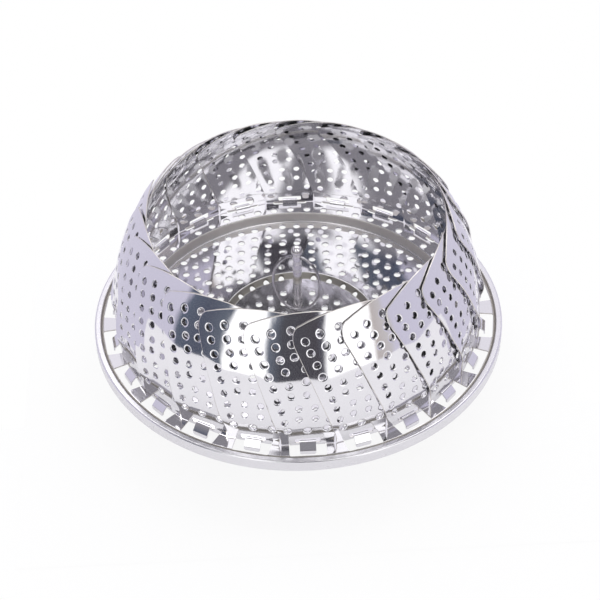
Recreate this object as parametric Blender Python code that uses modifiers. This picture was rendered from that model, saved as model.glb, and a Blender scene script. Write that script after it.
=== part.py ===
"""Folding steamer basket: a pressed, perforated base plate on three folding legs, with a ring of
overlapping perforated petals hinged round it and a centre post that carries a pull ring.

The petals are modelled folded up, as the basket is stored. Metres, +Z up. The origin is on the
table, under the centre of the post, and the first petal faces -Y.
"""

from math import atan2, cos, hypot, pi, radians, sin, tan

import bmesh
import bpy
from mathutils import Matrix, Vector

# Fits
CLEARANCE = 0.0003          # gap left between pieces that touch on the real basket
CUT_PAST = 0.002            # how far a cutter runs past the sheet that it cuts

# Base plate, pressed from one sheet. Levels are taken from the table up.
PLATE_SHEET = 0.0006
LEG_HEIGHT = 0.026          # table to the rim's lower edge
RIM_RADIUS = 0.088
SKIRT_HEIGHT = 0.0046       # rim's lower edge up to the top of the hinge ring
LIP_RISE = 0.0006           # rounded lip of the rim, above the hinge ring
LIP_WIDTH = 0.0034
PAN_DEPTH = 0.0046          # hinge ring down to the pan floor
PAN_RADIUS = RIM_RADIUS - 0.0190
PAN_WALL_RUN = 0.0007       # how far the pan's wall leans outward over its height
WELL_DEPTH = 0.0020         # pan floor down to the floor of the centre well
WELL_RADIUS = 0.0304
WELL_WALL_RUN = 0.0035
FLATS_PER_PETAL = 2         # flats of the turned plate under each petal

# Holes of the base plate: rings on the pan floor, and one ring on the shelf round it
DRAIN_HOLE_RADIUS = 0.00145
DRAIN_HOLE_SIDES = 6
PAN_HOLE_RINGS = 4
PAN_HOLE_INNER_MARGIN = 0.0077  # top of the well's wall to the first ring
PAN_HOLE_OUTER_MARGIN = 0.0042  # last ring to the pan's wall
PAN_HOLE_SPACING = 0.0140
WELL_HOLE_RING = 0.0200
WELL_HOLE_SPACING = 0.0125
SHELF_HOLE_RING = RIM_RADIUS - 0.0153
SHELF_HOLES_PER_PETAL = 1

# Petals
PETAL_COUNT = 22
PETAL_SHEET = 0.00045
PETAL_HEIGHT = 0.0580       # hinge line to the middle of the top edge
PETAL_FOOT_HALF = 0.0108    # half width of the foot
PETAL_TOP_HALF = 0.0256     # half width at the top corners
PETAL_CORNER_DROP = 0.0060  # top corners below the middle of the top edge
PETAL_CORNER_ROUND = 0.0060
PETAL_LEAN = radians(3.3)   # outward lean of the foot
PETAL_FOOT_DISH = 0.1270    # radius of the curve up the petal, at its foot
PETAL_TOP_DISH = 0.0567     # radius of the curve up the petal, at its top
PETAL_FOOT_BEND = 0.2170    # radius of the curve across the foot
PETAL_TOP_BEND = 0.0609     # radius of the curve across the top
FOOT_LAYER_STEP = 0.00128   # how far each foot's left edge stands outside the neighbour's
TOP_LAYER_STEP = 0.00205
PETAL_COLUMNS = 4
PETAL_ROWS = 5
PETAL_CORNER_FLATS = 2
PETAL_HOLE_RADIUS = 0.00145
PETAL_HOLE_SIDES = 6
PETAL_HOLE_ROWS = 4
PETAL_HOLE_FIRST_ROW = 0.0090
PETAL_HOLE_ROW_STEP = 0.0112
PETAL_HOLE_SPACING = 0.0102
PETAL_HOLES_IN_FIRST_ROW = 2

# Petal hinges: a tab of the plate hooks over the foot strip, through a slot in the petal
HINGE_RADIUS = RIM_RADIUS - 0.0104
TONGUE_HALF = 0.0072        # half width of the tongue that dips into the window
TONGUE_DROP = 0.0008        # tongue below the hinge line
FOOT_STRIP_RISE = 0.0007    # top of the foot strip above the hinge line
SLOT_HALF = 0.0052
SLOT_TOP = 0.0032           # top of the slot above the hinge line
TAB_HALF = 0.0033
TAB_SHEET = 0.0005
TAB_TIP = 0.0020            # straight end of the tab
TAB_TIP_ANGLE = radians(45)  # the tip's slope below level
WINDOW_OUTER = RIM_RADIUS - 0.0040

# Centre post and its pull ring
POST_RADIUS = 0.00195
POST_FLATS = 16
POST_HEAD_RADIUS = 0.00245
POST_HEAD_HEIGHT = 0.0034
POST_HEIGHT = 0.0460        # floor of the centre well to the top of the head
POST_FLANGE_RADIUS = 0.0042
POST_FLANGE_HEIGHT = 0.0014
POST_TAIL_LENGTH = 0.0062   # threaded tail below the flange
RING_HOLE_DROP = 0.0056     # pull ring's hole below the top of the head
RING_HOLE_RADIUS = 0.00120
RING_WIRE_RADIUS = 0.00060
RING_HALF_WIDTH = 0.01035
RING_HALF_HEIGHT = 0.0138
RING_TURN = radians(-19)    # direction of the ring's hole, seen from above
RING_POINTS = 26

# Nut and washer under the plate
WASHER_RADIUS = 0.0046
WASHER_HEIGHT = 0.0008
NUT_ACROSS_FLATS = 0.0070
NUT_HEIGHT = 0.0030

# Legs
LEG_COUNT = 3
LEG_FIRST_ANGLE = radians(90)
LEG_HINGE_RADIUS = 0.0450
LEG_HINGE_DROP = 0.0036     # hinge line below the pan's underside
LEG_SHEET = 0.0009
LEG_WIDTH = 0.0090
LEG_SPLAY = radians(8)
LEG_ROLL = radians(290)      # how far the eye is rolled round the pin
LEG_ROLL_POINTS = 8
LEG_FOOT_LENGTH = 0.0046
LEG_PIN_RADIUS = 0.00090
LEG_PIN_FLATS = 10
LEG_PIN_HEAD_RADIUS = 0.0015
LEG_PIN_HEAD_LENGTH = 0.0008
BRACKET_SHEET = 0.0008
BRACKET_LENGTH = 0.0072
BRACKET_STOP_DROP = 0.0052  # stop lip of the bracket, below the pan's underside

# Levels and places that follow from the sizes above
PITCH = 2 * pi / PETAL_COUNT
FIRST_PETAL_ANGLE = -pi / 2
RING_TOP_Z = LEG_HEIGHT + SKIRT_HEIGHT
PAN_FLOOR_Z = RING_TOP_Z - PAN_DEPTH
WELL_FLOOR_Z = PAN_FLOOR_Z - WELL_DEPTH
PAN_UNDERSIDE_Z = PAN_FLOOR_Z - PLATE_SHEET
WELL_UNDERSIDE_Z = WELL_FLOOR_Z - PLATE_SHEET
HINGE_Z = RING_TOP_Z + PETAL_SHEET / 2 + CLEARANCE
WINDOW_INNER = HINGE_RADIUS - TONGUE_DROP - CLEARANCE - 0.0001
WINDOW_HALF = TONGUE_HALF + 1.5 * CLEARANCE
TAB_LOOP_RADIUS = hypot(TONGUE_DROP, PETAL_SHEET / 2) + CLEARANCE + TAB_SHEET / 2
POST_TOP_Z = WELL_FLOOR_Z + POST_HEIGHT
RING_HOLE_Z = POST_TOP_Z - RING_HOLE_DROP
LEG_HINGE_Z = PAN_UNDERSIDE_Z - LEG_HINGE_DROP

STEEL = (0.78, 0.78, 0.80)

for old in list(bpy.data.objects):
    bpy.data.objects.remove(old)

basket = bpy.data.collections.new("folding_steamer_basket")
cutters = bpy.data.collections.new("cutters")
bpy.context.scene.collection.children.link(basket)
bpy.context.scene.collection.children.link(cutters)


def steel_material(name, colour=STEEL, roughness=0.12):
    """Polished stainless steel for one sub-part."""
    material = bpy.data.materials.new(name + "_steel")
    material.use_nodes = True
    shader = material.node_tree.nodes["Principled BSDF"]
    shader.inputs["Base Color"].default_value = (*colour, 1.0)
    shader.inputs["Metallic"].default_value = 1.0
    shader.inputs["Roughness"].default_value = roughness
    return material


def add_part(name, data, roughness=0.12):
    """A sub-part of the basket, with its own material."""
    part = bpy.data.objects.new(name, data)
    basket.objects.link(part)
    material = steel_material(name, roughness=roughness)
    if data.materials:
        part.material_slots[0].link = "OBJECT"
        part.material_slots[0].material = material
    else:
        data.materials.append(material)
    return part


def add_cutter(name, data):
    """A hidden guide that a Boolean reads."""
    cutter = bpy.data.objects.new(name, data)
    cutters.objects.link(cutter)
    cutter.hide_render = True
    cutter.display_type = "WIRE"
    return cutter


def mesh_from(name, bm):
    """The finished mesh of a bmesh."""
    data = bpy.data.meshes.new(name)
    bm.to_mesh(data)
    bm.free()
    return data


def applied(item):
    """The mesh of an object with its modifiers applied."""
    bpy.context.view_layer.update()
    graph = bpy.context.evaluated_depsgraph_get()
    return bpy.data.meshes.new_from_object(item.evaluated_get(graph))


def solidify(item, thickness):
    wall = item.modifiers.new("wall", "SOLIDIFY")
    wall.thickness = thickness
    wall.offset = 0.0
    wall.use_even_offset = True


def boolean(item, other, operation):
    cut = item.modifiers.new(operation.lower(), "BOOLEAN")
    cut.operation = operation
    cut.solver = "EXACT"
    cut.object = other


def turned(name, profile, steps, in_part=True):
    """A closed outline of (radius, height) points, turned round the Z axis."""
    bm = bmesh.new()
    points = [bm.verts.new((radius, 0.0, height)) for radius, height in profile]
    for here, there in zip(points, points[1:] + points[:1]):
        bm.edges.new((here, there))
    data = mesh_from(name, bm)
    item = add_part(name, data) if in_part else add_cutter(name, data)
    screw = item.modifiers.new("turn", "SCREW")
    screw.steps = steps
    screw.render_steps = steps
    screw.use_merge_vertices = True
    screw.merge_threshold = 0.00001
    screw.use_smooth_shade = False
    return item


def turned_solid(name, outline, steps):
    """An open outline that starts and ends on the Z axis, turned round it."""
    bm = bmesh.new()
    points = [bm.verts.new((radius, 0.0, height)) for radius, height in outline]
    for here, there in zip(points, points[1:]):
        bm.edges.new((here, there))
    item = add_part(name, mesh_from(name, bm))
    screw = item.modifiers.new("turn", "SCREW")
    screw.steps = steps
    screw.render_steps = steps
    screw.use_merge_vertices = True
    screw.merge_threshold = 0.00001
    screw.use_smooth_shade = False
    return item


def bent_strip(path, half_width):
    """An open sheet: a path of (outward, up) points, drawn out along Y."""
    bm = bmesh.new()
    points = [bm.verts.new((outward, -half_width, up)) for outward, up in path]
    edges = [bm.edges.new(pair) for pair in zip(points, points[1:])]
    drawn = bmesh.ops.extrude_edge_only(bm, edges=edges)
    far = [item for item in drawn["geom"] if isinstance(item, bmesh.types.BMVert)]
    bmesh.ops.translate(bm, verts=far, vec=(0.0, 2 * half_width, 0.0))
    return bm


def arc_points(centre, radius, start, end, count):
    """Points along an arc, from angle start to angle end."""
    turns = [start + (end - start) * i / (count - 1) for i in range(count)]
    return [(centre[0] + radius * cos(a), centre[1] + radius * sin(a)) for a in turns]


def box_mesh(bm, low, high, matrix=Matrix.Identity(4)):
    """A box between two corners, added to bm."""
    middle = (Vector(low) + Vector(high)) / 2
    size = Vector(high) - Vector(low)
    place = matrix @ Matrix.Translation(middle) @ Matrix.Diagonal((*size, 1.0))
    bmesh.ops.create_cube(bm, size=1.0, matrix=place)


def prism(bm, centre, direction, radius, length, sides):
    """A straight prism centred on a point, added to bm."""
    turn = Vector(direction).to_track_quat("Z", "Y").to_matrix().to_4x4()
    bmesh.ops.create_cone(
        bm, cap_ends=True, segments=sides, radius1=radius, radius2=radius,
        depth=length, matrix=Matrix.Translation(centre) @ turn,
    )


def petal_angle(index):
    return FIRST_PETAL_ANGLE + index * PITCH


# Base plate
def plate_profile():
    """Outline of the pressed plate: along its top, down the skirt, and back under it."""
    rim_z = LEG_HEIGHT
    lip_z = RING_TOP_Z + LIP_RISE
    lip_start = RIM_RADIUS - LIP_WIDTH
    lip_flat = LIP_RISE + PLATE_SHEET
    bore = POST_RADIUS + CLEARANCE
    pan_edge = PAN_RADIUS + PAN_WALL_RUN
    well_edge = WELL_RADIUS + WELL_WALL_RUN
    top = [
        (bore, WELL_FLOOR_Z),
        (WELL_RADIUS, WELL_FLOOR_Z),
        (well_edge, PAN_FLOOR_Z),
        (PAN_RADIUS, PAN_FLOOR_Z),
        (pan_edge, RING_TOP_Z),
        (lip_start, RING_TOP_Z),
        (lip_start + lip_flat, lip_z),
        (RIM_RADIUS - lip_flat, lip_z),
        (RIM_RADIUS, lip_z - lip_flat),
        (RIM_RADIUS, rim_z),
    ]
    under = [
        (RIM_RADIUS - PLATE_SHEET, rim_z),
        (RIM_RADIUS - PLATE_SHEET, lip_z - lip_flat - PLATE_SHEET / 2),
        (RIM_RADIUS - lip_flat - PLATE_SHEET / 2, lip_z - PLATE_SHEET),
        (lip_start + lip_flat, lip_z - PLATE_SHEET),
        (lip_start, RING_TOP_Z - PLATE_SHEET),
        (pan_edge + PLATE_SHEET, RING_TOP_Z - PLATE_SHEET),
        (PAN_RADIUS + PLATE_SHEET, PAN_UNDERSIDE_Z),
        (well_edge, PAN_UNDERSIDE_Z),
        (WELL_RADIUS, WELL_UNDERSIDE_Z),
        (bore, WELL_UNDERSIDE_Z),
    ]
    return top + under


def tab_path():
    """Middle line of a hinge tab, from inside the plate, up and over the foot strip."""
    plate_z = RING_TOP_Z - PLATE_SHEET / 2 - HINGE_Z
    root = [
        (-TAB_LOOP_RADIUS - 3 * PLATE_SHEET, plate_z),
        (-TAB_LOOP_RADIUS - TAB_SHEET / 2, plate_z),
    ]
    loop = arc_points((0.0, 0.0), TAB_LOOP_RADIUS, pi, pi / 2 - TAB_TIP_ANGLE, 4)
    end_x, end_z = loop[-1]
    tip = (end_x + TAB_TIP * cos(TAB_TIP_ANGLE), end_z - TAB_TIP * sin(TAB_TIP_ANGLE))
    return root + loop + [tip]


def hinge_tabs():
    """All hinge tabs, as closed pieces that the plate is joined to."""
    one = add_cutter("hinge_tab", mesh_from("hinge_tab", bent_strip(tab_path(), TAB_HALF)))
    solidify(one, TAB_SHEET)
    shape = applied(one)
    bm = bmesh.new()
    for index in range(PETAL_COUNT):
        before = len(bm.verts)
        bm.from_mesh(shape)
        bm.verts.ensure_lookup_table()
        place = Matrix.Rotation(petal_angle(index), 4, "Z") @ Matrix.Translation(
            (HINGE_RADIUS, 0.0, HINGE_Z)
        )
        bmesh.ops.transform(bm, matrix=place, verts=bm.verts[before:])
    bmesh.ops.recalc_face_normals(bm, faces=bm.faces)
    bpy.data.objects.remove(one)
    return add_cutter("hinge_tabs", mesh_from("hinge_tabs", bm))


def ring_of_holes(bm, radius, count, floor_z, first_angle):
    for index in range(count):
        angle = first_angle + index * 2 * pi / count
        centre = (radius * cos(angle), radius * sin(angle), floor_z - PLATE_SHEET / 2)
        prism(bm, centre, (0, 0, 1), DRAIN_HOLE_RADIUS, 2 * CUT_PAST, DRAIN_HOLE_SIDES)


def plate_openings():
    """Windows under the petals, and the drain holes."""
    bm = bmesh.new()
    for index in range(PETAL_COUNT):
        turn = Matrix.Rotation(petal_angle(index), 4, "Z")
        low = (WINDOW_INNER, -WINDOW_HALF, RING_TOP_Z - PLATE_SHEET - CUT_PAST)
        high = (WINDOW_OUTER, WINDOW_HALF, RING_TOP_Z + CUT_PAST)
        box_mesh(bm, low, high, turn)
    well_count = round(2 * pi * WELL_HOLE_RING / WELL_HOLE_SPACING)
    ring_of_holes(bm, WELL_HOLE_RING, well_count, WELL_FLOOR_Z, 0.0)
    first = WELL_RADIUS + WELL_WALL_RUN + PAN_HOLE_INNER_MARGIN
    step = (PAN_RADIUS - PAN_HOLE_OUTER_MARGIN - first) / (PAN_HOLE_RINGS - 1)
    for ring in range(PAN_HOLE_RINGS):
        radius = first + ring * step
        count = round(2 * pi * radius / PAN_HOLE_SPACING)
        ring_of_holes(bm, radius, count, PAN_FLOOR_Z, 0.0)
    shelf_count = SHELF_HOLES_PER_PETAL * PETAL_COUNT
    ring_of_holes(bm, SHELF_HOLE_RING, shelf_count, RING_TOP_Z, FIRST_PETAL_ANGLE)
    return add_cutter("plate_openings", mesh_from("plate_openings", bm))


def make_base_plate():
    plate = turned("base_plate", plate_profile(), FLATS_PER_PETAL * PETAL_COUNT)
    boolean(plate, plate_openings(), "DIFFERENCE")
    boolean(plate, hinge_tabs(), "UNION")
    return plate


# Petals
def foot_blend(up):
    """Grows from 0 at the hinge line to 1 at the top of the slot, so that the foot is flat."""
    share = min(max(up / SLOT_TOP, 0.0), 1.0)
    return share * share * (3 - 2 * share)


def petal_half_width(up):
    corner_up = PETAL_HEIGHT - PETAL_CORNER_DROP
    share = min(max((up - SLOT_TOP) / (corner_up - SLOT_TOP), 0.0), 1.0)
    return PETAL_FOOT_HALF + share * (PETAL_TOP_HALF - PETAL_FOOT_HALF)


def meridian(up):
    """How far the middle line of a petal lies outside the hinge line. It curls in to the top."""
    tightening = (1 / PETAL_TOP_DISH - 1 / PETAL_FOOT_DISH) / PETAL_HEIGHT
    return tan(PETAL_LEAN) * up - up ** 2 / (2 * PETAL_FOOT_DISH) - tightening * up ** 3 / 6


def petal_outward(side, up):
    """How far the middle of the sheet lies outside the hinge line, at a place on the petal."""
    share = up / PETAL_HEIGHT
    bend = (1 - share) / PETAL_FOOT_BEND + share / PETAL_TOP_BEND
    foot_twist = FOOT_LAYER_STEP / (HINGE_RADIUS * PITCH)
    top_twist = TOP_LAYER_STEP / ((HINGE_RADIUS + meridian(PETAL_HEIGHT)) * PITCH)
    twist = (1 - share) * foot_twist + share * top_twist
    return meridian(up) - foot_blend(up) * (bend * side * side / 2 + twist * side)


def petal_normal(side, up):
    """Outward direction square to the sheet, at a place on the petal."""
    step = 0.0001
    along_side = Vector(
        (petal_outward(side + step, up) - petal_outward(side - step, up), 2 * step, 0.0)
    )
    along_up = Vector(
        (petal_outward(side, up + step) - petal_outward(side, up - step), 0.0, 2 * step)
    )
    return along_side.cross(along_up).normalized()


def petal_top(side):
    """Height of the arched top edge."""
    return PETAL_HEIGHT - PETAL_CORNER_DROP * (side / PETAL_TOP_HALF) ** 2


def petal_blank():
    """The dished sheet of a petal, with rounded top corners, before its cut-outs."""
    bm = bmesh.new()
    bmesh.ops.create_grid(bm, x_segments=PETAL_COLUMNS, y_segments=PETAL_ROWS + 1, size=1.0)
    highest = PETAL_HEIGHT - PETAL_CORNER_DROP
    for point in bm.verts:
        row = (point.co.y + 1) / 2 * (PETAL_ROWS + 1) - 1
        share = max(row, 0.0) / PETAL_ROWS
        up = SLOT_TOP + share * (highest - SLOT_TOP) if row > -0.5 else -TONGUE_DROP
        side = point.co.x * petal_half_width(up)
        point.co = (0.0, side, up + share ** 3 * (petal_top(side) - highest))
    corners = [
        point for point in bm.verts
        if abs(abs(point.co.y) - PETAL_TOP_HALF) < 1e-6 and point.co.z > highest - 1e-6
    ]
    bmesh.ops.bevel(
        bm, geom=corners, offset=PETAL_CORNER_ROUND, segments=PETAL_CORNER_FLATS, profile=0.5,
        affect="VERTICES", material=-1,
    )
    for point in bm.verts:
        point.co.x = petal_outward(point.co.y, point.co.z)
    bmesh.ops.recalc_face_normals(bm, faces=bm.faces)
    return mesh_from("petal_blank", bm)


def petal_hole_places():
    """Staggered rows of holes that fan out with the petal, one more in each row."""
    places = []
    for row in range(PETAL_HOLE_ROWS):
        up = PETAL_HOLE_FIRST_ROW + row * PETAL_HOLE_ROW_STEP
        count = PETAL_HOLES_IN_FIRST_ROW + row
        first = -(count - 1) * PETAL_HOLE_SPACING / 2
        places += [(first + i * PETAL_HOLE_SPACING, up) for i in range(count)]
    return places


def petal_cutter():
    """Slot and notches of the foot, and the holes."""
    bm = bmesh.new()
    reach = 2 * CUT_PAST
    box_mesh(bm, (-reach, -SLOT_HALF, FOOT_STRIP_RISE), (reach, SLOT_HALF, SLOT_TOP))
    shoulder = -PETAL_SHEET / 2
    for sign in (-1, 1):
        inner = sign * TONGUE_HALF
        outer = sign * (PETAL_FOOT_HALF + CUT_PAST)
        low = (-reach, min(inner, outer), -TONGUE_DROP - CUT_PAST)
        high = (reach, max(inner, outer), shoulder)
        box_mesh(bm, low, high)
    for side, up in petal_hole_places():
        centre = Vector((petal_outward(side, up), side, up))
        direction = petal_normal(side, up)
        prism(bm, centre, direction, PETAL_HOLE_RADIUS, 2 * CUT_PAST, PETAL_HOLE_SIDES)
    return add_cutter("petal_cutter", mesh_from("petal_cutter", bm))


def make_petals():
    blank = add_cutter("petal_blank", petal_blank())
    solidify(blank, PETAL_SHEET)
    boolean(blank, petal_cutter(), "DIFFERENCE")
    shape = applied(blank)
    bpy.data.objects.remove(blank)
    for index in range(PETAL_COUNT):
        hinge = bpy.data.objects.new(f"petal_hinge_{index + 1:02d}", None)
        basket.objects.link(hinge)
        hinge.rotation_euler.z = petal_angle(index)
        hinge.location = Matrix.Rotation(petal_angle(index), 3, "Z") @ Vector(
            (HINGE_RADIUS, 0.0, HINGE_Z)
        )
        petal = add_part(f"petal_{index + 1:02d}", shape)
        petal.parent = hinge


# Centre post, pull ring, washer and nut
def make_centre_post():
    tail_z = WELL_FLOOR_Z + CLEARANCE - POST_TAIL_LENGTH
    flange_z = WELL_FLOOR_Z + CLEARANCE
    flange_top = flange_z + POST_FLANGE_HEIGHT
    head_z = POST_TOP_Z - POST_HEAD_HEIGHT
    neck = POST_HEAD_RADIUS - POST_RADIUS
    dome = arc_points(
        (0.0, POST_TOP_Z - POST_HEAD_RADIUS), POST_HEAD_RADIUS, radians(88), 0.0, 5
    )
    outline = [(0.0, POST_TOP_Z)] + dome[1:] + [
        (POST_HEAD_RADIUS, head_z),
        (POST_RADIUS, head_z - neck),
        (POST_RADIUS, flange_top + neck),
        (POST_FLANGE_RADIUS - neck, flange_top),
        (POST_FLANGE_RADIUS, flange_top - neck),
        (POST_FLANGE_RADIUS, flange_z),
        (POST_RADIUS, flange_z),
        (POST_RADIUS, tail_z),
        (0.0, tail_z),
    ]
    post = turned_solid("centre_post", outline, POST_FLATS)
    bm = bmesh.new()
    direction = (cos(RING_TURN), sin(RING_TURN), 0.0)
    prism(bm, (0, 0, RING_HOLE_Z), direction, RING_HOLE_RADIUS, 4 * POST_RADIUS, 8)
    boolean(post, add_cutter("ring_hole", mesh_from("ring_hole", bm)), "DIFFERENCE")


def ring_tilt():
    """Lean of the hanging ring, whose lower end rests against the front of the post."""
    reach = 2 * RING_HALF_HEIGHT
    return atan2(POST_RADIUS + RING_WIRE_RADIUS + CLEARANCE, reach)


def make_pull_ring():
    """An oval of wire through the post's hole. Its hinge line is the hole's middle line."""
    wire = bpy.data.curves.new("pull_ring", "CURVE")
    wire.dimensions = "3D"
    wire.bevel_depth = RING_WIRE_RADIUS
    wire.bevel_resolution = 1
    wire.use_fill_caps = True
    line = wire.splines.new("POLY")
    line.points.add(RING_POINTS - 1)
    for index, point in enumerate(line.points):
        angle = 2 * pi * index / RING_POINTS
        along = RING_HALF_WIDTH * sin(angle)
        down = RING_HALF_HEIGHT * (1 - cos(angle))
        point.co = (along, 0.0, -down, 1.0)
    line.use_cyclic_u = True
    hinge = bpy.data.objects.new("pull_ring_hinge", None)
    basket.objects.link(hinge)
    hinge.location = (0.0, 0.0, RING_HOLE_Z)
    hinge.rotation_euler.z = RING_TURN
    ring = add_part("pull_ring", wire)
    ring.parent = hinge
    ring.rotation_euler.x = -ring_tilt()


def make_post_fasteners():
    washer_top = WELL_UNDERSIDE_Z - CLEARANCE
    bore = POST_RADIUS + CLEARANCE
    turned("post_washer", [
        (bore, washer_top), (WASHER_RADIUS, washer_top),
        (WASHER_RADIUS, washer_top - WASHER_HEIGHT), (bore, washer_top - WASHER_HEIGHT),
    ], POST_FLATS)
    nut_top = washer_top - WASHER_HEIGHT - CLEARANCE
    corner = NUT_ACROSS_FLATS / 2 / cos(pi / 6)
    bm = bmesh.new()
    middle = (0, 0, nut_top - NUT_HEIGHT / 2)
    prism(bm, middle, (0, 0, 1), corner, NUT_HEIGHT, 6)
    nut = add_part("post_nut", mesh_from("post_nut", bm))
    bm = bmesh.new()
    prism(bm, middle, (0, 0, 1), bore, 2 * NUT_HEIGHT, POST_FLATS)
    boolean(nut, add_cutter("nut_bore", mesh_from("nut_bore", bm)), "DIFFERENCE")


# Legs
def leg_path():
    """Side view of a leg about its pin: rolled eye, shank, and foot turned outward."""
    eye = LEG_PIN_RADIUS + CLEARANCE + LEG_SHEET / 2
    side = LEG_SPLAY
    roll = arc_points((0.0, 0.0), eye, side + LEG_ROLL, side, LEG_ROLL_POINTS)
    shank = Vector((sin(LEG_SPLAY), -cos(LEG_SPLAY)))
    start = Vector(roll[-1])
    sole_z = LEG_SHEET / 2 - LEG_HINGE_Z
    knee = start + shank * ((sole_z - start.y) / shank.y)
    ankle = knee - shank * LEG_SHEET
    heel = (knee.x + LEG_SHEET, sole_z)
    toe = (knee.x + LEG_FOOT_LENGTH, sole_z)
    return roll + [tuple(ankle), heel, toe]


def make_leg_bracket(index, place):
    """A bent sheet: web spot-welded under the pan, two ears, and a lip that stops the leg."""
    top = LEG_HINGE_DROP - CLEARANCE
    half = LEG_WIDTH / 2 + CLEARANCE + BRACKET_SHEET / 2
    web = top - BRACKET_SHEET / 2
    low = -LEG_PIN_RADIUS - 1.5 * BRACKET_SHEET
    bm = bmesh.new()
    path = [(-half, low), (-half, web), (half, web), (half, low)]
    points = [bm.verts.new((-BRACKET_LENGTH / 2, side, up)) for side, up in path]
    edges = [bm.edges.new(pair) for pair in zip(points, points[1:])]
    drawn = bmesh.ops.extrude_edge_only(bm, edges=edges)
    far = [item for item in drawn["geom"] if isinstance(item, bmesh.types.BMVert)]
    bmesh.ops.translate(bm, verts=far, vec=(BRACKET_LENGTH, 0.0, 0.0))
    bmesh.ops.recalc_face_normals(bm, faces=bm.faces)
    bracket = add_part(f"leg_bracket_{index + 1}", mesh_from("leg_bracket", bm))
    bracket.matrix_world = place
    solidify(bracket, BRACKET_SHEET)
    lip = bmesh.new()
    lip_z = LEG_HINGE_DROP - BRACKET_STOP_DROP
    shank = (LEG_PIN_RADIUS + CLEARANCE + LEG_SHEET) / cos(LEG_SPLAY)
    lip_x = shank - lip_z * tan(LEG_SPLAY) + CLEARANCE
    box_mesh(lip, (lip_x, -half, lip_z), (lip_x + BRACKET_SHEET, half, web))
    stop = add_cutter(f"bracket_stop_{index + 1}", mesh_from("bracket_stop", lip))
    stop.matrix_world = place
    boolean(bracket, stop, "UNION")
    bore = bmesh.new()
    prism(bore, (0, 0, 0), (0, 1, 0), LEG_PIN_RADIUS + CLEARANCE, 4 * half, LEG_PIN_FLATS)
    hole = add_cutter(f"bracket_bore_{index + 1}", mesh_from("bracket_bore", bore))
    hole.matrix_world = place
    boolean(bracket, hole, "DIFFERENCE")


def make_leg_pin(index, place):
    """A pin with a rivet head at each end."""
    half = LEG_WIDTH / 2 + 2 * CLEARANCE + BRACKET_SHEET
    end = half + LEG_PIN_HEAD_LENGTH
    outline = [
        (0.0, end), (LEG_PIN_HEAD_RADIUS, end), (LEG_PIN_HEAD_RADIUS, half),
        (LEG_PIN_RADIUS, half), (LEG_PIN_RADIUS, -half), (LEG_PIN_HEAD_RADIUS, -half),
        (LEG_PIN_HEAD_RADIUS, -end), (0.0, -end),
    ]
    pin = turned_solid(f"leg_pin_{index + 1}", outline, LEG_PIN_FLATS)
    pin.matrix_world = place @ Matrix.Rotation(pi / 2, 4, "X")


def make_legs():
    for index in range(LEG_COUNT):
        angle = LEG_FIRST_ANGLE + index * 2 * pi / LEG_COUNT
        place = Matrix.Rotation(angle, 4, "Z") @ Matrix.Translation(
            (LEG_HINGE_RADIUS, 0.0, LEG_HINGE_Z)
        )
        strip = bent_strip(leg_path(), LEG_WIDTH / 2)
        bmesh.ops.recalc_face_normals(strip, faces=strip.faces)
        leg = add_part(f"leg_{index + 1}", mesh_from("leg", strip))
        leg.matrix_world = place
        solidify(leg, LEG_SHEET)
        make_leg_bracket(index, place)
        make_leg_pin(index, place)


make_base_plate()
make_petals()
make_centre_post()
make_pull_ring()
make_post_fasteners()
make_legs()
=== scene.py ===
from math import acos, atan2, cos, hypot, pi, radians, sin, tan

import bmesh
import bpy
from mathutils import Matrix, Vector


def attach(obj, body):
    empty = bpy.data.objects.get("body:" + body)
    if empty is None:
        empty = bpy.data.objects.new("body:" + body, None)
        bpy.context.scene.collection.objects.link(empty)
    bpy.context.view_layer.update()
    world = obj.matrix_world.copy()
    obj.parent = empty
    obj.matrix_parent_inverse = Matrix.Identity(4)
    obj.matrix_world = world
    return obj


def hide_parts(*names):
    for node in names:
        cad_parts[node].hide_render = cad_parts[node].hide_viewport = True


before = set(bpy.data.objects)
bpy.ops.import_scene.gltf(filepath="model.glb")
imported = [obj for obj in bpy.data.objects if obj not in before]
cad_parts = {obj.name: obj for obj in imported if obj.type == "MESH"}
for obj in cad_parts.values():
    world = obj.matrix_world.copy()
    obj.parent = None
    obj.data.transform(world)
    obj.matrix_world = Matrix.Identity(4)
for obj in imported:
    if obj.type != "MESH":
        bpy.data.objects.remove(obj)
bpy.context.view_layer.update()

world_scene = bpy.context.scene

# Camera. The photograph looks down on the basket at 42 degrees from the front, through a long lens
# about 0.9 m away, and is turned by about one degree.
lens = bpy.data.cameras.new("photo_camera")
lens.lens = 125.5
lens.sensor_width = 36.0
lens.clip_start = 0.01
camera = bpy.data.objects.new("photo_camera", lens)
world_scene.collection.objects.link(camera)
mm = 0.001
rim_edge_up = 26.0 * mm
looks_down, goes_round, is_rolled = radians(41.95), radians(-2.1), radians(-1.2)
away_from_rim = (0.7 * mm, 10.1 * mm, 909.0 * mm)
camera.matrix_world = (
    Matrix.Translation((0, 0, rim_edge_up))
    @ Matrix.Rotation(goes_round, 4, "Z")
    @ Matrix.Rotation(pi / 2 - looks_down, 4, "X")
    @ Matrix.Rotation(is_rolled, 4, "Z")
    @ Matrix.Translation(away_from_rim)
)
world_scene.camera = camera
world_scene.view_settings.view_transform = "Standard"


def linear(hex_colour):
    """An sRGB hex colour as the linear colour that a shader takes."""
    values = [int(hex_colour[i:i + 2], 16) / 255 for i in (1, 3, 5)]
    return [v / 12.92 if v < 0.04045 else ((v + 0.055) / 1.055) ** 2.4 for v in values] + [1.0]


def node(tree, kind, inputs=None, **settings):
    """Adds a node. inputs gives, by name or number, a value or the socket that it is linked to."""
    made = tree.nodes.new(kind)
    for name, value in settings.items():
        setattr(made, name, value)
    for name, value in (inputs or {}).items():
        if isinstance(value, bpy.types.NodeSocket):
            tree.links.new(value, made.inputs[name])
        else:
            made.inputs[name].default_value = value
    return made


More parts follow.
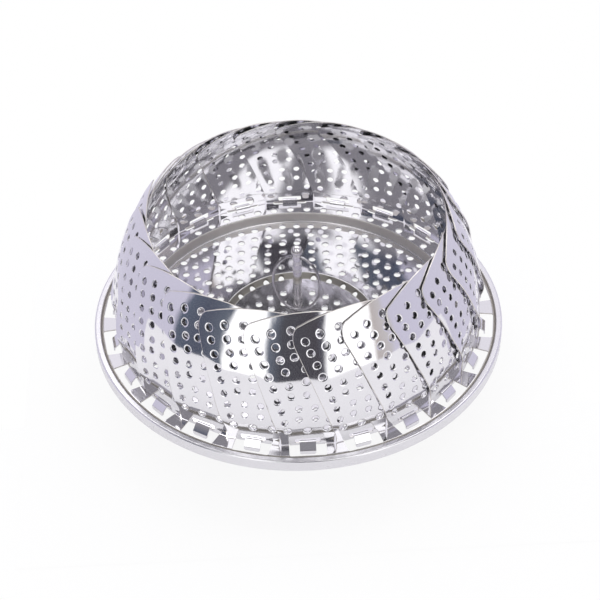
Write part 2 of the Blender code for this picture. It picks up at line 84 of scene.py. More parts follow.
# Floor. Pale paper, a small sheet under the basket and a wide one in front, whose edges the petals
# mirror. The camera sees it as white, with the basket's shadow.
floor_mesh = bmesh.new()
small_sheet = ((0, 10 * mm, 0), (120 * mm, 120 * mm))
wide_sheet = ((0, -195 * mm, -0.2 * mm), (330 * mm, 165 * mm))
for middle, half_size in (small_sheet, wide_sheet):
    bmesh.ops.create_grid(
        floor_mesh, x_segments=1, y_segments=1, size=1.0,
        matrix=Matrix.Translation(middle) @ Matrix.Diagonal((*half_size, 1.0, 1.0)))
floor_data = bpy.data.meshes.new("paper_floor")
floor_mesh.to_mesh(floor_data)
floor_mesh.free()
floor = bpy.data.objects.new("paper_floor", floor_data)
world_scene.collection.objects.link(floor)

# The paper is matt, uncoated and nearly white, so it scatters light evenly and shows no gloss. For
# the camera alone it is mixed with plain white, which leaves only a pale shadow.
paper = bpy.data.materials.new("white_paper")
paper.use_nodes = True
tree = paper.node_tree
tree.nodes.clear()
lit = node(tree, "ShaderNodeBsdfDiffuse", {"Color": linear("#EFEEF1")})
glow = node(tree, "ShaderNodeEmission", {"Color": linear("#FFFFFF"), "Strength": 1.0})
rays = node(tree, "ShaderNodeLightPath")
plain_share = 0.88
share = node(tree, "ShaderNodeMath", {
    0: rays.outputs["Is Camera Ray"], 1: plain_share}, operation="MULTIPLY")
both = node(tree, "ShaderNodeMixShader", {
    0: share.outputs[0], 1: lit.outputs[0], 2: glow.outputs[0]})
node(tree, "ShaderNodeOutputMaterial", {"Surface": both.outputs[0]})
floor_data.materials.append(paper)

# Studio. A white room with soft light from above. Only the steel mirrors more of it: lilac walls, a
# grey ceiling, and a dark gap in front with two bright window strips.
studio = bpy.data.worlds.new("studio")
world_scene.world = studio
studio.use_nodes = True
tree = studio.node_tree
tree.nodes.clear()
direction = node(tree, "ShaderNodeTexCoord")
part_of = node(tree, "ShaderNodeSeparateXYZ", {0: direction.outputs["Generated"]})
height = node(tree, "ShaderNodeMath", {0: part_of.outputs["Z"]}, operation="ARCSINE")
front = node(tree, "ShaderNodeMath", {0: part_of.outputs["Y"], 1: -1.0}, operation="MULTIPLY")
around = node(tree, "ShaderNodeMath", {
    0: part_of.outputs["X"], 1: front.outputs[0]}, operation="ARCTAN2")
up_share = node(tree, "ShaderNodeMapRange", {
    "Value": height.outputs[0], "From Min": -pi / 2, "From Max": pi / 2})
round_share = node(tree, "ShaderNodeMapRange", {
    "Value": around.outputs[0], "From Min": -pi, "From Max": pi})


def banded(tree, factor, first, last, bands):
    """A colour ramp over values from first to last. bands gives each stop's value and colour."""
    ramp = node(tree, "ShaderNodeValToRGB", {0: factor})
    stops = ramp.color_ramp.elements
    while len(stops) > 1:
        stops.remove(stops[-1])
    for number, (value, colour) in enumerate(bands):
        share = (value - first) / (last - first)
        stop = stops[0] if number == 0 else stops.new(share)
        stop.position = share
        stop.color = linear(colour)
    return ramp.outputs["Color"]


# The walls by degrees round the room, where 0 is in front and 90 to the right. The white stretches
# are the windows, and the lilac is that of the outer petals at both sides.
walls = banded(tree, round_share.outputs[0], -180, 180, [
    (-180, "#B6B3C0"), (-73, "#AFACBC"), (-69, "#414A5B"), (-56, "#373D4E"), (-40, "#49505D"),
    (-37, "#FFFFFF"), (-15, "#FFFFFF"), (-12, "#505764"), (-4, "#2F2F37"), (16, "#2D2931"),
    (20, "#3C3C47"), (23, "#FFFFFF"), (49, "#FFFFFF"), (52, "#A29B98"), (59, "#A9A5A6"),
    (62, "#AFACBC"), (180, "#B6B3C0")])
upper_walls = banded(tree, round_share.outputs[0], -180, 180, [
    (-180, "#D0CED4"), (-110, "#78767B"), (-51, "#78767B"), (-48, "#FFFFFF"), (-24, "#FFFFFF"),
    (-20, "#78767B"), (8, "#706F74"), (12, "#FFFFFF"), (45, "#FFFFFF"), (49, "#78767B"),
    (110, "#78767B"), (180, "#D0CED4")])

# By degrees above the horizon: the upper walls start between 31 and 38, the ceiling at 70 to 76.
rising = banded(tree, up_share.outputs[0], -90, 90, [
    (-90, "#000000"), (31, "#000000"), (38, "#FFFFFF")])
top = banded(tree, up_share.outputs[0], -90, 90, [
    (-90, "#000000"), (70, "#000000"), (76, "#FFFFFF")])
all_walls = node(tree, "ShaderNodeMixRGB", {"Fac": rising, "Color1": walls, "Color2": upper_walls})
seen = node(tree, "ShaderNodeMixRGB", {
    "Fac": top, "Color1": all_walls.outputs["Color"], "Color2": linear("#7F7D81")})
room_brightness = 1.6
mirrored = node(tree, "ShaderNodeBackground", {
    "Color": seen.outputs["Color"], "Strength": room_brightness})
plain = node(tree, "ShaderNodeBackground", {"Color": linear("#FFFFFF"), "Strength": 1.0})
rays = node(tree, "ShaderNodeLightPath")
either = node(tree, "ShaderNodeMixShader", {
    0: rays.outputs["Is Glossy Ray"], 1: plain.outputs[0], 2: mirrored.outputs[0]})
node(tree, "ShaderNodeOutputWorld", {"Surface": either.outputs[0]})

# Two soft boxes of 0.6 by 0.5 m hang a metre up and aim at the basket.
for name, spot in (("left_softbox", (-0.22, 0.50, 1.0)), ("right_softbox", (0.42, 0.35, 1.0))):
    softbox = bpy.data.lights.new(name, "AREA")
    softbox.shape = "RECTANGLE"
    softbox.size = 0.6
    softbox.size_y = 0.5
    softbox.energy = 1.6
    softbox_object = bpy.data.objects.new(name, softbox)
    softbox_object.location = spot
    softbox_object.rotation_euler = Vector(spot).to_track_quat("Z", "Y").to_euler()
    world_scene.collection.objects.link(softbox_object)


# Base plate. One disc of 0.6 mm stainless sheet, deep-drawn into a pan with a stepped rim, punched
# with rings of drain holes and 22 windows, and mirror polished on both sides.
rim_radius = 88.0 * mm
petal_count = 22
pitch = 2 * pi / petal_count
plate_sheet = 0.6 * mm
ring_up = 30.6 * mm
pan_floor_up = 26.0 * mm
well_floor_up = 24.0 * mm
well_radius, pan_radius = 31.7 * mm, 69.0 * mm
window_inner, window_outer, window_half = 76.4 * mm, 84.0 * mm, 7.65 * mm
window_corner, cutter_high = 0.8 * mm, 6 * mm
drain_radius, drain_roll, drain_sides = 1.45 * mm, 0.25 * mm, 12


def polished_steel(name, colour, roughness, waviness=1.0):
    """Stainless steel, buffed to a mirror. It keeps slow waves from the press, the wheel leaves
    fine scratches, and its grease dulls the steel in patches."""
    patch_size, wave_length = 22.2 * mm, 14.3 * mm
    # Real scratches are about 0.1 mm apart. They are drawn ten times as coarse, so that they show.
    scratch_gap = 1.11 * mm
    wave_depth, scratch_depth = 0.4 * mm, 0.05 * mm
    clearest, greasiest, grease_tint = 0.7, 1.6, 0.93
    steel = bpy.data.materials.new(name)
    steel.use_nodes = True
    tree = steel.node_tree
    shader = tree.nodes["Principled BSDF"]
    place = node(tree, "ShaderNodeTexCoord").outputs["Object"]
    patches = node(tree, "ShaderNodeTexNoise", {
        "Vector": place, "Scale": 1 / patch_size, "Detail": 3.0})
    dulled = node(tree, "ShaderNodeMapRange", {
        "Value": patches.outputs["Fac"], "From Min": 0.35, "From Max": 0.75,
        "To Min": roughness * clearest, "To Max": roughness * greasiest})
    tint = node(tree, "ShaderNodeMixRGB", {
        "Fac": patches.outputs["Fac"], "Color1": linear(colour),
        "Color2": [v * grease_tint for v in linear(colour)[:3]] + [1.0]})
    waves = node(tree, "ShaderNodeTexNoise", {
        "Vector": place, "Scale": 1 / wave_length, "Detail": 1.0})
    scratches = node(tree, "ShaderNodeTexNoise", {
        "Vector": place, "Scale": 1 / scratch_gap, "Detail": 2.0})
    slow = node(tree, "ShaderNodeBump", {
        "Height": waves.outputs["Fac"], "Strength": 0.25 * waviness, "Distance": wave_depth})
    fine = node(tree, "ShaderNodeBump", {
        "Height": scratches.outputs["Fac"], "Strength": 0.06, "Distance": scratch_depth,
        "Normal": slow.outputs["Normal"]})
    # Dust and fingerprints scatter a little light, so the darkest mirrored parts aren't black.
    shader.inputs["Metallic"].default_value = 0.95
    tree.links.new(tint.outputs["Color"], shader.inputs["Base Color"])
    tree.links.new(dulled.outputs[0], shader.inputs["Roughness"])
    tree.links.new(fine.outputs["Normal"], shader.inputs["Normal"])
    return steel


def finished(name, bm, material, body, *nodes):
    """The object of a finished bmesh, which stands for CAD nodes and moves with a body."""
    data = bpy.data.meshes.new(name)
    bm.to_mesh(data)
    bm.free()
    data.materials.append(material)
    piece = bpy.data.objects.new(name, data)
    world_scene.collection.objects.link(piece)
    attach(piece, body)
    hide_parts(*nodes)
    return piece


def rounded_line(points, radii):
    """A line of (x, y) points with each inner corner replaced by an arc of its radius."""
    widest_step = radians(14)
    line = [Vector(points[0])]
    for i in range(1, len(points) - 1):
        before, corner, after = (Vector(points[j]) for j in (i - 1, i, i + 1))
        back = (before - corner).normalized()
        ahead = (after - corner).normalized()
        half = back.angle(ahead) / 2
        cut = radii[i - 1] / tan(half)
        middle = corner + (back + ahead).normalized() * radii[i - 1] / sin(half)
        start = corner + back * cut - middle
        end = corner + ahead * cut - middle
        steps = max(2, round(start.angle(end) / widest_step))
        whole = start.angle_signed(end)
        for step in range(steps + 1):
            turned = Matrix.Rotation(-whole * step / steps, 2) @ start
            line.append(middle + turned)
    line.append(Vector(points[-1]))
    return line


def spun(line, steps):
    """A line of (radius, height) points, turned round the Z axis."""
    bm = bmesh.new()
    points = [bm.verts.new((point[0], 0.0, point[1])) for point in line]
    edges = [bm.edges.new(pair) for pair in zip(points, points[1:])]
    bmesh.ops.spin(bm, geom=points + edges, cent=(0, 0, 0), axis=(0, 0, 1), angle=2 * pi,
                   steps=steps, use_merge=True, use_duplicate=False)
    bmesh.ops.remove_doubles(bm, verts=bm.verts, dist=0.001 * mm)
    bmesh.ops.recalc_face_normals(bm, faces=bm.faces)
    return bm


def add_to(bm, part, place=None):
    """Puts a finished bmesh into another one, at a place if one is given."""
    data = bpy.data.meshes.new("part")
    part.to_mesh(data)
    part.free()
    if place:
        data.transform(place)
    bm.from_mesh(data)
    bpy.data.meshes.remove(data)


roll_depth = 0.6


def punch(bm, place, radius, roll, sheet, sides):
    """A punch whose hole has a rolled edge. Its wall widens by roll at the top of the sheet, over
    the share roll_depth of its thickness."""
    # The widest part ends a hair under the sheet's top, so that the cut doesn't run along a line.
    edge = [(0.0, 2 * sheet), (radius + roll, 2 * sheet), (radius + roll, 0.49 * sheet)]
    deep = roll_depth * sheet
    for step in (1, 2, 3):
        turn = radians(30 * step)
        edge.append((radius + roll - roll * sin(turn), sheet / 2 - deep * (1 - cos(turn))))
    edge += [(radius, -2 * sheet), (0.0, -2 * sheet)]
    add_to(bm, spun(edge, sides), place)


def cut(bm, cutter, operation="DIFFERENCE"):
    """bm with another closed bmesh taken from it, joined to it, or kept where they meet."""
    objects = []
    for name, source in (("stock", bm), ("tool", cutter)):
        data = bpy.data.meshes.new(name)
        source.to_mesh(data)
        source.free()
        objects.append(bpy.data.objects.new(name, data))
        world_scene.collection.objects.link(objects[-1])
    stock, tool = objects
    step = stock.modifiers.new("cut", "BOOLEAN")
    step.operation = operation
    step.solver = "EXACT"
    step.object = tool
    bpy.context.view_layer.update()
    now = bpy.context.evaluated_depsgraph_get()
    made = bpy.data.meshes.new_from_object(stock.evaluated_get(now))
    result = bmesh.new()
    result.from_mesh(made)
    bpy.data.meshes.remove(made)
    for used in objects:
        data = used.data
        bpy.data.objects.remove(used)
        bpy.data.meshes.remove(data)
    bmesh.ops.remove_doubles(result, verts=result.verts, dist=0.002 * mm)
    return result


def smooth_by_angle(bm, limit):
    """Shades smooth, apart from edges that turn by more than limit."""
    for face in bm.faces:
        face.smooth = True
    for edge in bm.edges:
        edge.smooth = len(edge.link_faces) == 2 and edge.calc_face_angle(0.0) < limit


def upright_edges(bm):
    """The edges of a cutter that stand upright."""
    return [edge for edge in bm.edges if abs(edge.verts[0].co.z - edge.verts[1].co.z) > mm]


# From the post outwards: the well and its step, the pan and its wall, the ring with the windows,
# the groove, and the rim, which is turned down.
plate_line = rounded_line([
    (2.25 * mm, well_floor_up),
    (well_radius, well_floor_up), (well_radius + 2.2 * mm, pan_floor_up),
    (pan_radius, pan_floor_up), (pan_radius + 0.7 * mm, ring_up),
    (window_outer, ring_up), (window_outer + 0.8 * mm, ring_up - 0.2 * mm),
    (window_outer + 1.4 * mm, ring_up + 0.60 * mm),
    (rim_radius, ring_up + 0.60 * mm), (rim_radius, rim_edge_up),
], [1.0 * mm, 1.0 * mm, 0.9 * mm, 0.9 * mm, 0.7 * mm, 0.25 * mm, 0.7 * mm, 0.8 * mm])
plate = spun(plate_line, 6 * petal_count)
bmesh.ops.solidify(plate, geom=plate.faces, thickness=plate_sheet)
openings = bmesh.new()
for index in range(petal_count):
    window = bmesh.new()
    bmesh.ops.create_cube(window, size=1.0, matrix=Matrix.Translation(
        ((window_inner + window_outer) / 2, 0, ring_up)
    ) @ Matrix.Diagonal((window_outer - window_inner, 2 * window_half, cutter_high, 1.0)))
    bmesh.ops.bevel(window, geom=upright_edges(window), offset=window_corner, segments=3,
                    profile=0.5, affect="EDGES", material=-1)
    bmesh.ops.rotate(window, verts=window.verts, cent=(0, 0, 0),
                     matrix=Matrix.Rotation(index * pitch - pi / 2, 3, "Z"))
    add_to(openings, window)

# Each ring of drain holes: how many, how far out and how high. One lies on the well's step, and the
# last one on the ring, inside the windows. The others start a little to the right of the back.
step_up = (well_floor_up + pan_floor_up) / 2
first_drain = pi / 2 - radians(2.1)
drain_rings = [
    (10, 10.3 * mm, well_floor_up, first_drain), (16, 16.5 * mm, well_floor_up, first_drain),
    (22, 22.7 * mm, well_floor_up, first_drain), (28, 31.9 * mm, step_up, first_drain),
    (34, 38.0 * mm, pan_floor_up, first_drain), (40, 43.0 * mm, pan_floor_up, first_drain),
    (46, 48.4 * mm, pan_floor_up, first_drain), (52, 54.0 * mm, pan_floor_up, first_drain),
    (58, 60.0 * mm, pan_floor_up, first_drain), (64, 65.8 * mm, pan_floor_up, first_drain),
    (60, 72.3 * mm, ring_up, 0.0)]
for count, radius, up, first in drain_rings:
    for index in range(count):
        place = Matrix.Rotation(first + index * 2 * pi / count, 4, "Z") @ Matrix.Translation(
            (radius, 0, up - plate_sheet / 2))
        punch(openings, place, drain_radius, drain_roll, plate_sheet, drain_sides)
plate = cut(plate, openings)


def vertices_of(made):
    """The vertices among what an operator made."""
    return [element for element in made["geom"] if isinstance(element, bmesh.types.BMVert)]


# The plate's hinge tabs are strips left standing at the windows' inner edges. Each is bent up and
# over the foot of a petal. The line runs from the root to the tip, from the hinge's own middle.
hinge_radius = 77.6 * mm
hinge_up = 31.125 * mm
tab_sheet, tab_half, tab_loop = 0.5 * mm, 3.3 * mm, 1.381 * mm
tab_root, tab_corner = 1.8 * mm, 0.9 * mm
tab_slope = radians(45)
tab_root_up = ring_up - plate_sheet / 2 - hinge_up
loop_steps = 8
tab_line = [(-tab_loop - tab_root, tab_root_up), (-tab_loop, tab_root_up)]
for step in range(loop_steps + 1):
    turn = pi + (pi / 2 - tab_slope - pi) * step / loop_steps
    tab_line.append((tab_loop * cos(turn), tab_loop * sin(turn)))
for length, slope in ((2.9 * mm, tab_slope), (0.3 * mm, radians(65)), (1.7 * mm, radians(88))):
    out, up = tab_line[-1]
    tab_line.append((out + length * cos(slope), up - length * sin(slope)))
tab = bmesh.new()
low_side = [tab.verts.new((out, -tab_half, up)) for out, up in tab_line]
low_edges = [tab.edges.new(pair) for pair in zip(low_side, low_side[1:])]
drawn = bmesh.ops.extrude_edge_only(tab, edges=low_edges)
bmesh.ops.translate(tab, verts=vertices_of(drawn), vec=(0, 2 * tab_half, 0))
tips = [v for v in tab.verts if (v.co.xz - Vector(tab_line[-1])).length < 0.001 * mm]
bmesh.ops.bevel(tab, geom=tips, offset=tab_corner, segments=4, profile=0.5,
                affect="VERTICES", material=-1)
bmesh.ops.recalc_face_normals(tab, faces=tab.faces)
bmesh.ops.solidify(tab, geom=tab.faces, thickness=tab_sheet)
tabs = bmesh.new()
for index in range(petal_count):
    add_to(tabs, tab.copy(), Matrix.Rotation(index * pitch - pi / 2, 4, "Z")
           @ Matrix.Translation((hinge_radius, 0, hinge_up)))
tab.free()
plate = cut(plate, tabs, "UNION")
smooth_by_angle(plate, radians(28))

# Deep-drawn stainless sheet, buffed to a mirror, so its colour is that of the room. The wheel
# doesn't reach into the pan's steps or the groove inside the rim, which are left rougher, and there
# the colour is also tinted grey and olive as painted shade in those recesses. It only skims the
# well and the rim, which look silky.
plate_steel = polished_steel("mirror_polished_stainless_plate", "#EAE9EC", 0.07)
tree = plate_steel.node_tree
shader = tree.nodes["Principled BSDF"]
place = node(tree, "ShaderNodeTexCoord").outputs["Object"]
level = node(tree, "ShaderNodeVectorMath", {0: place, 1: (1.0, 1.0, 0.0)}, operation="MULTIPLY")
outward = node(tree, "ShaderNodeVectorMath", {0: level.outputs[0]}, operation="LENGTH")
ramp_end = 90
outward_share = node(tree, "ShaderNodeMapRange", {
    "Value": outward.outputs["Value"], "From Max": ramp_end * mm})
# Where each dulled ring begins and ends, in mm from the axis, its tint, and how dull it is. The
# tints on the well's step, the pan's wall and the groove are painted shade.
dull_and_shaded_rings = [
    (0.3, 31.1, "#FFFFFF", "#404040"), (31.5, 33.9, "#B4B1A8", "#FFFFFF"),
    (69.0, 70.0, "#FFFBF4", "#FFFFFF"), (84.2, 85.4, "#BDB9AE", "#FFFFFF"),
    (85.8, 89.0, "#FFFFFF", "#ABABAB")]
fades_over, dullest = 0.2, 0.55
covered, painted_shade_tints = [(0, "#000000")], [(0, "#FFFFFF")]
for first, last, colour, dullness in dull_and_shaded_rings:
    covered += [(first - fades_over, "#000000"), (first, dullness),
                (last, dullness), (last + fades_over, "#000000")]
    painted_shade_tints += [(first - fades_over, "#FFFFFF"), (first, colour),
              (last, colour), (last + fades_over, "#FFFFFF")]
missed = banded(tree, outward_share.outputs[0], 0, ramp_end, covered)
# Painted shade: the rings' tints darken the steel's colour on the steps and in the groove.
tint = banded(tree, outward_share.outputs[0], 0, ramp_end, painted_shade_tints)
buffed = shader.inputs["Base Color"].links[0].from_socket
colour_with_painted_shade = node(tree, "ShaderNodeMixRGB", {
    "Fac": 1.0, "Color1": buffed, "Color2": tint}, blend_type="MULTIPLY")
tree.links.new(colour_with_painted_shade.outputs["Color"], shader.inputs["Base Color"])
buffed = shader.inputs["Roughness"].links[0].from_socket
grain = node(tree, "ShaderNodeMapRange", {"Value": missed, "To Min": buffed, "To Max": dullest})
tree.links.new(grain.outputs[0], shader.inputs["Roughness"])

# The windows' walls are as the punch sheared them, unpolished, and look grey beside the mirror.
edge_steel = polished_steel("sheared_stainless_edge", "#DEDAD6", 0.40, 0.5)
for face in plate.faces:
    middle = face.calc_center_median()
    stands = abs(face.normal.z) < 0.2 and ring_up - plate_sheet < middle.z < ring_up
    if stands and window_inner - mm < middle.xy.length < window_outer + 0.5 * mm:
        face.material_index = 1
base = finished("base_plate_sheet", plate, plate_steel, "basket_body", "base_plate")
base.data.materials.append(edge_steel)
weighted = base.modifiers.new("flat_faces_stay_flat", "WEIGHTED_NORMAL")
weighted.keep_sharp = True
weighted.weight = 80


# Petals. 22 blades of 0.45 mm stainless sheet, each punched with 44 holes, dished, curled in at the
# top and mirror polished. Each hooks on a tab of the plate and laps over its neighbour.
petal_sheet = 0.45 * mm
petal_height = 58.0 * mm
foot_half, top_half = 10.8 * mm, 25.6 * mm
arch_rise = 6.0 * mm
corner_up = petal_height - arch_rise
strip_top, slot_top, slot_half, slot_corner = 0.7 * mm, 3.2 * mm, 5.2 * mm, 0.5 * mm
tongue_half, tongue_drop = 7.2 * mm, 0.8 * mm
petal_hole_radius, petal_hole_roll, petal_hole_sides = 1.35 * mm, 0.6 * mm, 16
# How the blade leans, and the radii that it bends to, up and across, at the foot and at the top.
lean = radians(3.3)
foot_rise_bend, top_rise_bend = 127.0 * mm, 56.7 * mm
foot_cross_bend, top_cross_bend = 217.0 * mm, 60.9 * mm
# How far each blade steps out over the next one, at the foot and at the top, and how its left edge
# is curled in along the lap and at the top, and flared above the foot.
foot_layer, top_layer = 0.9 * mm, 1.55 * mm
curl_width, lap_curl, top_curl, foot_gape = 8.0 * mm, 0.45 * mm, 0.3 * mm, 1.1 * mm
gape_from, gape_widest, curl_from, curl_full = 5 * mm, 12 * mm, 14 * mm, 28 * mm
curl_fades_over, corner_width = 30 * mm, 12 * mm


def eased(up, first, last):
    """Rises softly from 0 to 1 between two heights."""
    share = min(max((up - first) / (last - first), 0.0), 1.0)
    return share * share * (3 - 2 * share)


def meridian(up):
    """How far the petal's middle line lies outside its hinge line."""
    tightening = (1 / top_rise_bend - 1 / foot_rise_bend) / petal_height
    return tan(lean) * up - up ** 2 / (2 * foot_rise_bend) - tightening * up ** 3 / 6


def half_width(up):
    """Half the petal's width at a height."""
    share = min(max((up - slot_top) / (corner_up - slot_top), 0.0), 1.0)
    return foot_half + share * (top_half - foot_half)


def petal_outward(side, up):
    """How far the middle of the sheet lies outside the hinge line. It is bent across, and twisted
    so that its left edge stands outside the next petal. That edge is curled in higher up, to close
    the lap, and gapes above the foot."""
    share = up / petal_height
    bend = (1 - share) / foot_cross_bend + share / top_cross_bend
    foot_twist = foot_layer / (hinge_radius * pitch)
    top_twist = top_layer / ((hinge_radius + meridian(petal_height)) * pitch)
    twist = (1 - share) * foot_twist + share * top_twist
    to_side = min(max(1 - (half_width(up) + side) / curl_width, 0.0), 1.0)
    lap_band = eased(up, curl_from, curl_full) * eased(petal_height - up, 0, curl_fades_over)
    gape_band = eased(up, gape_from, gape_widest) * (1 - eased(up, gape_widest, curl_full))
    curl = (lap_curl * lap_band - foot_gape * gape_band) * to_side ** 2
    top_edge = petal_height - arch_rise * (side / top_half) ** 2
    to_top = min(max(1 - (top_edge - up) / curl_width, 0.0), 1.0)
    to_left = min(max(-side / corner_width, 0.0), 1.0)
    curl += top_curl * to_left * to_top ** 2
    return meridian(up) - eased(up, 0, slot_top) * (bend * side * side / 2 + twist * side + curl)


def on_petal(side, up):
    """A point of the sheet's middle and the directions across it, up it and out of it there."""
    bit = 0.05 * mm
    slope_side = (petal_outward(side + bit, up) - petal_outward(side - bit, up)) / (2 * bit)
    slope_up = (petal_outward(side, up + bit) - petal_outward(side, up - bit)) / (2 * bit)
    across = Vector((slope_side, 1.0, 0.0))
    upward = Vector((slope_up, 0.0, 1.0))
    return (Vector((petal_outward(side, up), side, up)), across.normalized(),
            upward.normalized(), across.cross(upward).normalized())


# The flat sheet is a fine grid, so that it can be bent smoothly.
sheet_wide, sheet_high, sheet_middle_up = 54 * mm, 61 * mm, 28.6 * mm
blank = bmesh.new()
bmesh.ops.create_grid(blank, x_segments=44, y_segments=50, size=0.5)
bmesh.ops.transform(blank, verts=blank.verts, matrix=Matrix.Translation(
    (0, sheet_middle_up, petal_sheet / 2)) @ Matrix.Diagonal((sheet_wide, sheet_high, 1, 1)))
bmesh.ops.recalc_face_normals(blank, faces=blank.faces)
lower = bmesh.ops.extrude_face_region(blank, geom=blank.faces)
bmesh.ops.translate(blank, verts=vertices_of(lower), vec=(0, 0, -petal_sheet))
bmesh.ops.recalc_face_normals(blank, faces=blank.faces)

# The die cuts the outline, with its corners rounded, and leaves both edges a little eased, the
# outer one more. Its line goes in short steps, because the bend follows its points.
outline = [(-tongue_half, -tongue_drop), (-tongue_half, -petal_sheet / 2),
           (-foot_half, -petal_sheet / 2), (-foot_half, slot_top), (-top_half, corner_up)]
corner_radii = [0.4 * mm, 0.5 * mm, 0.6 * mm, 2.0 * mm, 6.0 * mm]
arch_steps = 6
arch = []
for step in range(1, arch_steps + 1):
    inward = step / arch_steps
    arch.append((top_half * (inward - 1), petal_height - arch_rise * (1 - inward) ** 2))
half_line = outline + arch
whole = half_line + [(-x, y) for x, y in reversed(half_line[:-1])]
die = bmesh.new()
die.faces.new([die.verts.new((x, y, 3 * petal_sheet)) for x, y in whole])
for place, radius in zip(outline, corner_radii):
    for side in (1, -1):
        corner = [v for v in die.verts
                  if (v.co.xy - Vector((place[0] * side, place[1]))).length < 0.0001 * mm]
        bmesh.ops.bevel(die, geom=corner, offset=radius, offset_type="OFFSET",
                        segments=6, profile=0.5, affect="VERTICES", material=-1)
outline_step = 1.2 * mm
for edge in list(die.edges):
    cuts = int(edge.calc_length() / outline_step)
    if cuts:
        bmesh.ops.subdivide_edges(die, edges=[edge], cuts=cuts)
straight_half, eased_depth = 0.02 * mm, 0.23 * mm
bmesh.ops.translate(die, verts=die.verts, vec=(0, 0, straight_half - 3 * petal_sheet))
drawn = bmesh.ops.extrude_face_region(die, geom=die.faces)
bmesh.ops.translate(die, verts=vertices_of(drawn), vec=(0, 0, -2 * straight_half))
bmesh.ops.recalc_face_normals(die, faces=die.faces)
for way, easing in ((1, 0.28 * mm), (-1, 0.10 * mm)):
    cap = [face for face in die.faces if face.normal.z * way > 0.9]
    bmesh.ops.inset_region(die, faces=cap, thickness=easing, depth=0.0, use_even_offset=True)
    cap = [face for face in die.faces if face.normal.z * way > 0.9 and len(face.verts) > 8]
    bmesh.ops.translate(die, verts=cap[0].verts, vec=(0, 0, eased_depth * way))
blank = cut(blank, die, "INTERSECT")

# The holes in mm from the middle line and from the hinge, each also on the other side of that line.
hole_rows = [
    ((0.0, 7.8), (8.0, 8.0)),
    ((3.3, 13.8), (9.1, 12.5)),
    ((3.3, 19.4), (10.3, 18.3)),
    ((0.0, 26.0), (6.2, 25.5), (11.7, 23.3)),
    ((0.0, 31.9), (6.7, 30.3), (13.1, 29.2)),
    ((0.0, 37.2), (8.2, 36.2), (14.8, 34.1)),
    ((4.4, 42.1), (10.1, 41.1), (16.3, 39.1)),
    ((5.3, 47.0), (11.7, 46.0), (18.0, 44.2)),
    ((5.4, 52.0), (13.1, 50.8), (19.4, 48.6)),
]
hole_places = []
for row in hole_rows:
    for side, up in row:
        hole_places.append((side * mm, up * mm))
        if side:
            hole_places.append((-side * mm, up * mm))
punches = bmesh.new()
for side, up in hole_places:
    punch(punches, Matrix.Translation((side, up, 0)), petal_hole_radius, petal_hole_roll,
          petal_sheet, petal_hole_sides)
slot = bmesh.new()
bmesh.ops.create_cube(slot, size=1.0, matrix=Matrix.Translation((0, (strip_top + slot_top) / 2, 0))
                      @ Matrix.Diagonal((2 * slot_half, slot_top - strip_top, cutter_high, 1)))
bmesh.ops.bevel(slot, geom=upright_edges(slot), offset=slot_corner, segments=4, profile=0.5,
                affect="EDGES", material=-1)
add_to(punches, slot)
blank = cut(blank, punches)

# The flat blade's shading is worked out before it is bent, so that the mirror has no facets: even
# on its faces, round on the holes' rolled edges, and as the die left it on the outline.
flat = bpy.data.meshes.new("petal_blade")
blank.to_mesh(flat)
blank.free()
roll, deep = petal_hole_roll, roll_depth * petal_sheet
flat_normals = []
for face in flat.polygons:
    way = face.normal
    middle = face.center
    near = min(hole_places, key=lambda place: hypot(place[0] - middle.x, place[1] - middle.y))
    for corner in face.loop_indices:
        point = flat.vertices[flat.loops[corner].vertex_index].co
        if abs(way.z) > 0.999:
            flat_normals.append(Vector((0, 0, 1 if way.z > 0 else -1)))
        elif hypot(near[0] - middle.x, near[1] - middle.y) > petal_hole_radius + roll:
            flat_normals.append(way.copy())
            face.material_index = 1
        elif way.z > 0.02:
            below = min(max((petal_sheet / 2 - point.z) / deep, 0.0), 1.0)
            turn = acos(1 - below)
            inward = Vector((near[0] - point.x, near[1] - point.y, 0)).normalized()
            rolled = inward * deep * sin(turn) + Vector((0, 0, roll * cos(turn)))
            flat_normals.append(rolled.normalized())
        else:
            flat_normals.append(Vector((near[0] - point.x, near[1] - point.y, 0)).normalized())
spots = [on_petal(vertex.co.x, vertex.co.y) for vertex in flat.vertices]
depths = [vertex.co.z for vertex in flat.vertices]
bent_normals = []
for corner, way in zip(flat.loops, flat_normals):
    point, across, upward, outward = spots[corner.vertex_index]
    bent_normals.append((across * way.x + upward * way.y + outward * way.z).normalized())
for vertex, (point, across, upward, outward), depth in zip(flat.vertices, spots, depths):
    vertex.co = point + outward * depth
for face in flat.polygons:
    face.use_smooth = True
flat.update()
flat.normals_split_custom_set(bent_normals)

# Stamped stainless sheet, buffed to a mirror on both sides, a little clearer than the plate. Its
# colour is that of the room, bent into bands by the blade's curves.
petal_steel = polished_steel("mirror_polished_stainless_petal", "#EAE9EC", 0.06)
flat.materials.append(petal_steel)
flat.materials.append(edge_steel)
for index in range(petal_count):
    name = f"petal_{index + 1:02d}"
    blade = flat.copy()
    blade.name = name + "_blade"
    blade.transform(Matrix.Rotation(index * pitch - pi / 2, 4, "Z")
                    @ Matrix.Translation((hinge_radius, 0, hinge_up)))
    piece = bpy.data.objects.new(name + "_blade", blade)
    world_scene.collection.objects.link(piece)
    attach(piece, name)
    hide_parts(name)


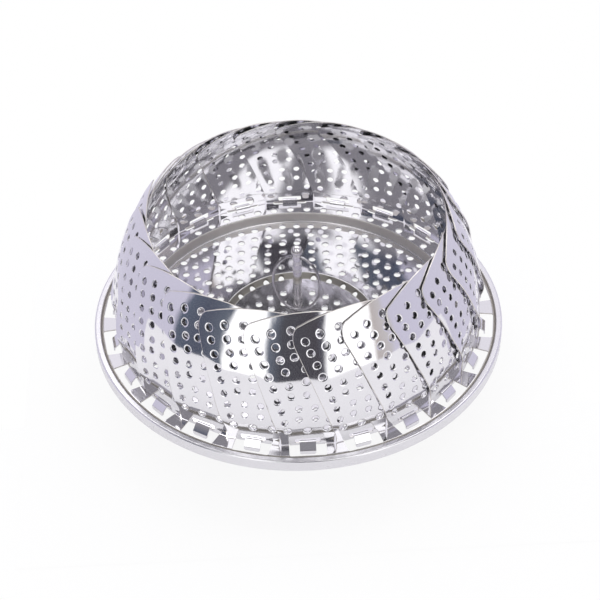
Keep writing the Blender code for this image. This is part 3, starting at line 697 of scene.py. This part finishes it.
# Centre post. A turned stainless rod with a domed head, a cross hole for the pull ring, and a
# flange that sits on the plate. Its tail goes through the plate to the washer and the nut.
post_radius, head_radius, flange_radius = 1.95 * mm, 2.45 * mm, 4.2 * mm
post_top = 70.0 * mm
flange_up, flange_sheet = well_floor_up + 0.3 * mm, 1.4 * mm
neck_up = post_top - 3.9 * mm
tail_end = flange_up - 6.2 * mm
ring_hole_up, ring_hole_radius = 64.4 * mm, 1.2 * mm
ring_turn = radians(-19)
dome_steps, post_sides = 6, 32
post_line = [(0.0, post_top)]
for step in range(1, dome_steps + 1):
    turn = radians(90 - 90 / dome_steps * step)
    post_line.append((head_radius * cos(turn), post_top - head_radius + head_radius * sin(turn)))
post_line += rounded_line([
    (head_radius, post_top - 2.6 * mm), (head_radius, neck_up + 0.5 * mm), (post_radius, neck_up),
    (post_radius, flange_up + flange_sheet), (flange_radius, flange_up + flange_sheet),
    (flange_radius, flange_up), (post_radius, flange_up), (post_radius, tail_end), (0.0, tail_end)],
    [0.3 * mm, 0.3 * mm, 0.6 * mm, 0.4 * mm, 0.15 * mm, 0.01 * mm, 0.3 * mm])
post = spun(post_line, post_sides)
hole = bmesh.new()
across_ring = (Matrix.Translation((0, 0, ring_hole_up)) @ Matrix.Rotation(ring_turn, 4, "Z")
               @ Matrix.Rotation(pi / 2, 4, "Y"))
bmesh.ops.create_cone(hole, cap_ends=True, segments=20, radius1=ring_hole_radius,
                      radius2=ring_hole_radius, depth=10 * mm, matrix=across_ring)
post = cut(post, hole)
smooth_by_angle(post, radians(35))

# Bright drawn rod, turned and buffed, so it is the smoothest of the steels and hardly waves.
post_steel = polished_steel("turned_stainless_rod", "#F4F2F2", 0.045, 0.2)
post_piece = finished("centre_post_rod", post, post_steel, "basket_body", "centre_post")
weighted = post_piece.modifiers.new("flat_faces_stay_flat", "WEIGHTED_NORMAL")
weighted.keep_sharp = True


# Pull ring. An oval of 1.2 mm stainless wire, bent round and closed, that swings in the post's
# cross hole. It hangs down and rests against the post.
wire_radius = 0.6 * mm
ring_half_width, ring_half_height = 10.35 * mm, 13.8 * mm
ring_points = 72
wire = bpy.data.curves.new("pull_ring_wire", "CURVE")
wire.dimensions = "3D"
wire.bevel_depth = wire_radius
wire.bevel_resolution = 4
line = wire.splines.new("POLY")
line.points.add(ring_points - 1)
for index, point in enumerate(line.points):
    angle = 2 * pi * index / ring_points
    point.co = (ring_half_width * sin(angle), 0.0, -ring_half_height * (1 - cos(angle)), 1.0)
line.use_cyclic_u = True
hang = atan2(post_radius + wire_radius + 0.3 * mm, 2 * ring_half_height)
holder = bpy.data.objects.new("pull_ring_wire", wire)
world_scene.collection.objects.link(holder)
bpy.context.view_layer.update()
now = bpy.context.evaluated_depsgraph_get()
data = bpy.data.meshes.new_from_object(holder.evaluated_get(now))
bpy.data.objects.remove(holder)
data.transform(Matrix.Translation((0, 0, ring_hole_up)) @ Matrix.Rotation(ring_turn, 4, "Z")
               @ Matrix.Rotation(-hang, 4, "X"))
ring = bmesh.new()
ring.from_mesh(data)
bpy.data.meshes.remove(data)
bmesh.ops.remove_doubles(ring, verts=ring.verts, dist=0.01 * mm)
bmesh.ops.recalc_face_normals(ring, faces=ring.faces)
smooth_by_angle(ring, radians(60))

# Drawn wire keeps the die's fine lines, so it is greyer and softer than the buffed parts.
wire_steel = polished_steel("drawn_stainless_wire", "#D0CED2", 0.12, 0.2)
finished("pull_ring_loop", ring, wire_steel, "pull_ring", "pull_ring")


# Washer, nut, legs, brackets and pins. Stainless strip and bar, stamped or turned, that hold the
# post and carry the plate from below. Their shapes are those of the CAD nodes.

# Tumbled stainless isn't buffed: it is softly bright, and blurs what it mirrors.
tumbled = polished_steel("tumbled_stainless", "#C6C4C6", 0.22, 0.6)
for name in ["post_washer", "post_nut"] + [
        f"{kind}_{index}" for kind in ("leg", "leg_bracket", "leg_pin") for index in (1, 2, 3)]:
    for material_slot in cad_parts[name].material_slots:
        material_slot.material = tumbled
